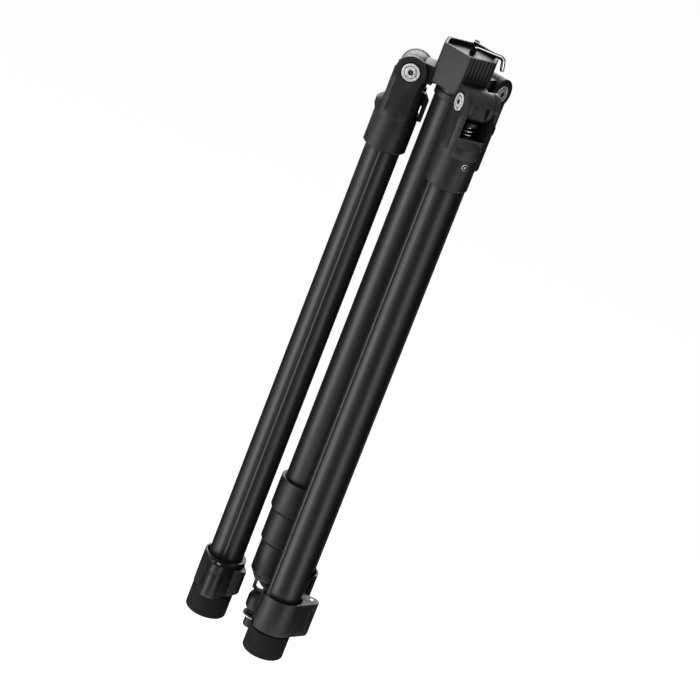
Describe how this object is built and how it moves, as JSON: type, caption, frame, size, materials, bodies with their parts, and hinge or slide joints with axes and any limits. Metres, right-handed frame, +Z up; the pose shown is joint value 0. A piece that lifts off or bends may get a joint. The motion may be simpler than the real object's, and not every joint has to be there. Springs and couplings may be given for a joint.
{
  "type": "light stand",
  "caption": "Folding light stand, shown folded: legs swing out on a hinge head, sliding leg tubes on flip locks, and a sliding column on twist locks ends in a spigot.",
  "frame": {"origin": "on the column's axis at the level of the soles, midway between the three feet", "axes": "+Z up along the column to the hinge head, leg a towards -X, legs b and c at 300 and 60 degrees round Z"},
  "size_m": [0.093, 0.093, 0.4683],
  "materials": {
    "cast_black": "fine satin powder coat",
    "tube_black": "satin black anodised",
    "moulded_black": "fine moulded texture",
    "rubber_black": "matte",
    "bush_grey": "matte",
    "bright_steel": "bright, turned",
    "chrome_wire": "polished",
    "spring_steel": "drawn wire"
  },
  "bodies": {
    "stand": {"head": "cast_black", "head_insert": "moulded_black", "head_ferrule": "moulded_black", "column_tube_1": "tube_black", "grip_bush_1": "bush_grey"},
    "hook": {"ballast_hook": "chrome_wire"},
    "twist_1": {"twist_collar_1": "moulded_black"},
    "column_2": {"column_tube_2": "tube_black", "guide_ring_2": "bush_grey", "grip_bush_2": "bush_grey"},
    "twist_2": {"twist_collar_2": "moulded_black"},
    "column_3": {"column_tube_3": "tube_black", "guide_ring_3": "bush_grey", "grip_bush_3": "bush_grey"},
    "twist_3": {"twist_collar_3": "moulded_black"},
    "column_4": {"column_tube_4": "tube_black", "guide_ring_4": "bush_grey", "spigot": "cast_black"},
    "leg_a": {"leg_a_bracket": "cast_black", "leg_a_sleeve": "cast_black", "leg_a_pivot_bolt": "bright_steel", "leg_a_pivot_nut": "bright_steel", "leg_a_screws": "bright_steel", "leg_a_tube": "tube_black", "leg_a_clamp": "moulded_black", "leg_a_lever_pin": "bright_steel", "leg_a_spring": "spring_steel"},
    "leg_a_release": {"leg_a_latch": "moulded_black"},
    "leg_a_lever": {"leg_a_lever": "moulded_black"},
    "leg_a_extension": {"leg_a_inner_tube": "tube_black", "leg_a_guide_bush": "bush_grey", "leg_a_foot": "rubber_black"},
    "leg_b": {"leg_b_bracket": "cast_black", "leg_b_sleeve": "cast_black", "leg_b_pivot_bolt": "bright_steel", "leg_b_pivot_nut": "bright_steel", "leg_b_screws": "bright_steel", "leg_b_tube": "tube_black", "leg_b_clamp": "moulded_black", "leg_b_lever_pin": "bright_steel", "leg_b_spring": "spring_steel"},
    "leg_b_release": {"leg_b_latch": "moulded_black"},
    "leg_b_lever": {"leg_b_lever": "moulded_black"},
    "leg_b_extension": {"leg_b_inner_tube": "tube_black", "leg_b_guide_bush": "bush_grey", "leg_b_foot": "rubber_black"},
    "leg_c": {"leg_c_bracket": "cast_black", "leg_c_sleeve": "cast_black", "leg_c_pivot_bolt": "bright_steel", "leg_c_pivot_nut": "bright_steel", "leg_c_screws": "bright_steel", "leg_c_tube": "tube_black", "leg_c_clamp": "moulded_black", "leg_c_lever_pin": "bright_steel", "leg_c_spring": "spring_steel"},
    "leg_c_release": {"leg_c_latch": "moulded_black"},
    "leg_c_lever": {"leg_c_lever": "moulded_black"},
    "leg_c_extension": {"leg_c_inner_tube": "tube_black", "leg_c_guide_bush": "bush_grey", "leg_c_foot": "rubber_black"}
  },
  "joints": [
    {"name": "hook_fold", "type": "hinge", "parent": "stand", "child": "hook", "pos_m": [0, 0.002, 0.4657], "axis": [0, -1, 0], "range_deg": [0, 95]},
    {"name": "twist_1_turn", "type": "hinge", "parent": "stand", "child": "twist_1", "pos_m": [0, 0, 0.122], "axis": [0, 0, 1], "range_deg": [0, 90]},
    {"name": "column_2_slide", "type": "slide", "parent": "stand", "child": "column_2", "axis": [0, 0, -1], "range_m": [0, 0.285]},
    {"name": "twist_2_turn", "type": "hinge", "parent": "column_2", "child": "twist_2", "pos_m": [0, 0, 0.0963], "axis": [0, 0, 1], "range_deg": [0, 90]},
    {"name": "column_3_slide", "type": "slide", "parent": "column_2", "child": "column_3", "axis": [0, 0, -1], "range_m": [0, 0.285]},
    {"name": "twist_3_turn", "type": "hinge", "parent": "column_3", "child": "twist_3", "pos_m": [0, 0, 0.0706], "axis": [0, 0, 1], "range_deg": [0, 90]},
    {"name": "column_4_slide", "type": "slide", "parent": "column_3", "child": "column_4", "axis": [0, 0, -1], "range_m": [0, 0.285]},
    {"name": "leg_a_swing", "type": "hinge", "parent": "stand", "child": "leg_a", "pos_m": [-0.03375, 0, 0.4346], "axis": [0, 1, 0], "range_deg": [0, 155]},
    {"name": "leg_a_latch_slide", "type": "slide", "parent": "leg_a", "child": "leg_a_release", "axis": [0, 0, -1], "range_m": [0, 0.002], "stiffness_N_per_m": 500, "springref_m": -0.002, "deforming": ["leg_a_spring"]},
    {"name": "leg_a_lever_flip", "type": "hinge", "parent": "leg_a", "child": "leg_a_lever", "pos_m": [-0.03453, -0.02219, 0.0338], "axis": [0, 0, 1], "range_deg": [0, 90]},
    {"name": "leg_a_extend", "type": "slide", "parent": "leg_a", "child": "leg_a_extension", "axis": [0, 0, -1], "range_m": [0, 0.3]},
    {"name": "leg_b_swing", "type": "hinge", "parent": "stand", "child": "leg_b", "pos_m": [0.01688, -0.02923, 0.4346], "axis": [-0.866, -0.5, 0], "range_deg": [0, 155]},
    {"name": "leg_b_latch_slide", "type": "slide", "parent": "leg_b", "child": "leg_b_release", "axis": [0, 0, -1], "range_m": [0, 0.002], "stiffness_N_per_m": 500, "springref_m": -0.002, "deforming": ["leg_b_spring"]},
    {"name": "leg_b_lever_flip", "type": "hinge", "parent": "leg_b", "child": "leg_b_lever", "pos_m": [0.03648, -0.01881, 0.0338], "axis": [0, 0, 1], "range_deg": [0, 90]},
    {"name": "leg_b_extend", "type": "slide", "parent": "leg_b", "child": "leg_b_extension", "axis": [0, 0, -1], "range_m": [0, 0.3]},
    {"name": "leg_c_swing", "type": "hinge", "parent": "stand", "child": "leg_c", "pos_m": [0.01688, 0.02923, 0.4346], "axis": [0.866, -0.5, 0], "range_deg": [0, 155]},
    {"name": "leg_c_latch_slide", "type": "slide", "parent": "leg_c", "child": "leg_c_release", "axis": [0, 0, -1], "range_m": [0, 0.002], "stiffness_N_per_m": 500, "springref_m": -0.002, "deforming": ["leg_c_spring"]},
    {"name": "leg_c_lever_flip", "type": "hinge", "parent": "leg_c", "child": "leg_c_lever", "pos_m": [-0.00195, 0.04099, 0.0338], "axis": [0, 0, 1], "range_deg": [0, 90]},
    {"name": "leg_c_extend", "type": "slide", "parent": "leg_c", "child": "leg_c_extension", "axis": [0, 0, -1], "range_m": [0, 0.3]}
  ]
}
